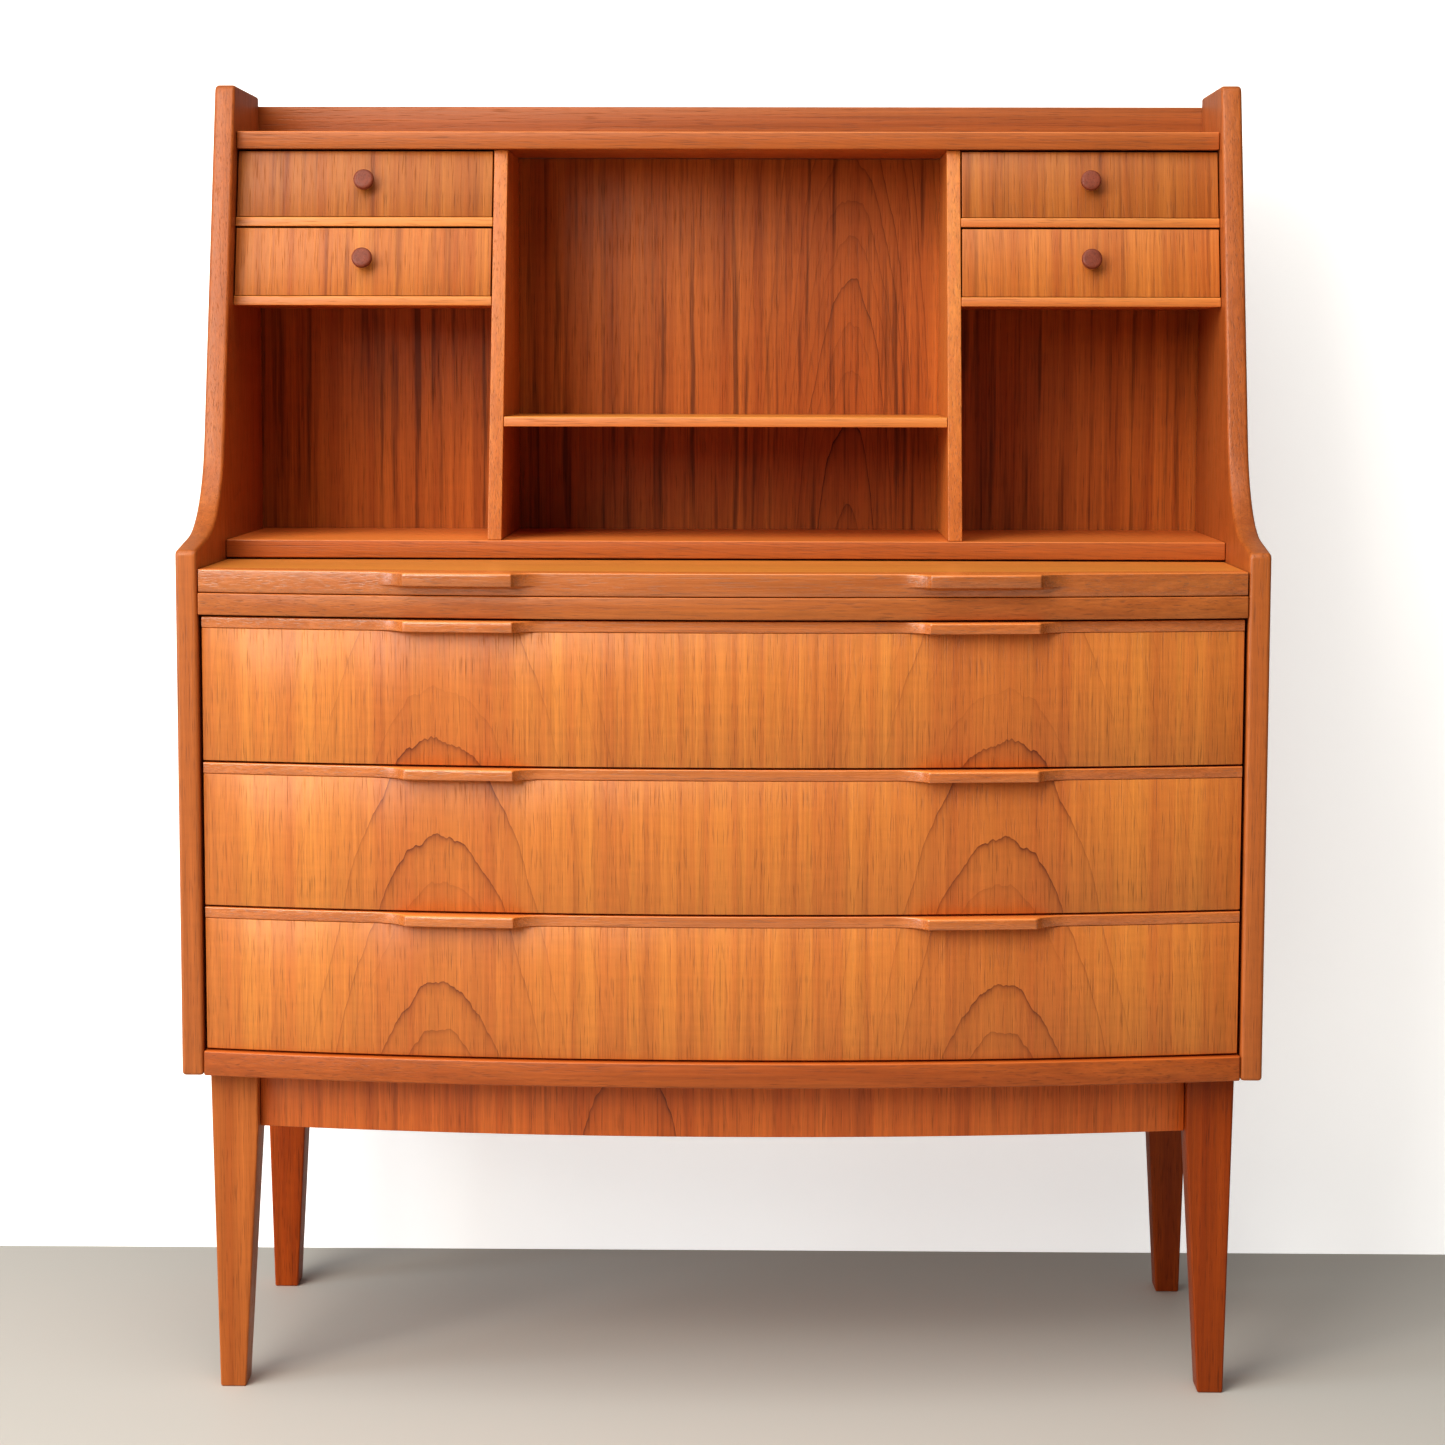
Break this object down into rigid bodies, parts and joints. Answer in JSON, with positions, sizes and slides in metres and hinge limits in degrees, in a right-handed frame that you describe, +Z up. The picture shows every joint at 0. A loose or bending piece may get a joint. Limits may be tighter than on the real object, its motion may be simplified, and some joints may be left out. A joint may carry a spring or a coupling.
{
  "type": "secretary desk",
  "caption": "Bow-fronted teak secretary desk: tapered-leg stand, large drawers with scooped handle strips, a pull-out writing slab, and a raked upper case with open bays and small knob drawers.",
  "frame": {"origin": "middle of the overall bounding box in plan, at the soles of the legs", "axes": "+Z up, -Y towards the person sitting at the desk, +X to that person's right"},
  "size_m": [1, 0.475, 1.233],
  "materials": {
    "teak_case": "satin oiled teak veneer",
    "teak_front": "satin oiled teak veneer, lighter matched fronts",
    "teak_solid": "satin oiled solid teak",
    "dark_teak": "turned dark hardwood, satin",
    "drawer_wood": "planed pale hardwood, matt",
    "plywood": "thin plywood with a plain veneer face, matt"
  },
  "bodies": {
    "case": {"side_panel_left": "teak_case", "side_panel_right": "teak_case", "base_board": "teak_case", "carrier_board": "teak_case", "upper_floor_board": "teak_case", "top_board": "teak_case", "gallery_rail": "teak_solid", "back_panel": "plywood", "divider_left": "teak_case", "divider_right": "teak_case", "centre_shelf": "teak_case", "left_upper_shelf": "teak_case", "left_lower_shelf": "teak_case", "right_upper_shelf": "teak_case", "right_lower_shelf": "teak_case", "front_leg_left": "teak_solid", "front_leg_right": "teak_solid", "rear_leg_left": "teak_solid", "rear_leg_right": "teak_solid", "front_apron": "teak_case", "rear_apron": "teak_case", "left_apron": "teak_case", "right_apron": "teak_case", "lower_drawer_runner_left": "drawer_wood", "lower_drawer_runner_right": "drawer_wood", "middle_drawer_runner_left": "drawer_wood", "middle_drawer_runner_right": "drawer_wood", "upper_drawer_runner_left": "drawer_wood", "upper_drawer_runner_right": "drawer_wood"},
    "writing_slab": {"writing_slab": "teak_front"},
    "lower_drawer": {"lower_drawer_front": "teak_front", "lower_drawer_handle_strip": "teak_front", "lower_drawer_side_left": "drawer_wood", "lower_drawer_side_right": "drawer_wood", "lower_drawer_back": "drawer_wood", "lower_drawer_bottom": "plywood"},
    "middle_drawer": {"middle_drawer_front": "teak_front", "middle_drawer_handle_strip": "teak_front", "middle_drawer_side_left": "drawer_wood", "middle_drawer_side_right": "drawer_wood", "middle_drawer_back": "drawer_wood", "middle_drawer_bottom": "plywood"},
    "upper_drawer": {"upper_drawer_front": "teak_front", "upper_drawer_handle_strip": "teak_front", "upper_drawer_side_left": "drawer_wood", "upper_drawer_side_right": "drawer_wood", "upper_drawer_back": "drawer_wood", "upper_drawer_bottom": "plywood"},
    "left_top_drawer": {"left_top_drawer_front": "teak_front", "left_top_drawer_tray": "drawer_wood", "left_top_drawer_knob": "dark_teak"},
    "left_second_drawer": {"left_second_drawer_front": "teak_front", "left_second_drawer_tray": "drawer_wood", "left_second_drawer_knob": "dark_teak"},
    "right_top_drawer": {"right_top_drawer_front": "teak_front", "right_top_drawer_tray": "drawer_wood", "right_top_drawer_knob": "dark_teak"},
    "right_second_drawer": {"right_second_drawer_front": "teak_front", "right_second_drawer_tray": "drawer_wood", "right_second_drawer_knob": "dark_teak"}
  },
  "joints": [
    {"name": "writing_slab_slide", "type": "slide", "parent": "case", "child": "writing_slab", "axis": [0, -1, 0], "range_m": [0, 0.2]},
    {"name": "lower_drawer_slide", "type": "slide", "parent": "case", "child": "lower_drawer", "axis": [0, -1, 0], "range_m": [0, 0.3]},
    {"name": "middle_drawer_slide", "type": "slide", "parent": "case", "child": "middle_drawer", "axis": [0, -1, 0], "range_m": [0, 0.3]},
    {"name": "upper_drawer_slide", "type": "slide", "parent": "case", "child": "upper_drawer", "axis": [0, -1, 0], "range_m": [0, 0.3]},
    {"name": "left_top_drawer_slide", "type": "slide", "parent": "case", "child": "left_top_drawer", "axis": [0, -1, 0], "range_m": [0, 0.085]},
    {"name": "left_second_drawer_slide", "type": "slide", "parent": "case", "child": "left_second_drawer", "axis": [0, -1, 0], "range_m": [0, 0.1]},
    {"name": "right_top_drawer_slide", "type": "slide", "parent": "case", "child": "right_top_drawer", "axis": [0, -1, 0], "range_m": [0, 0.085]},
    {"name": "right_second_drawer_slide", "type": "slide", "parent": "case", "child": "right_second_drawer", "axis": [0, -1, 0], "range_m": [0, 0.1]}
  ]
}
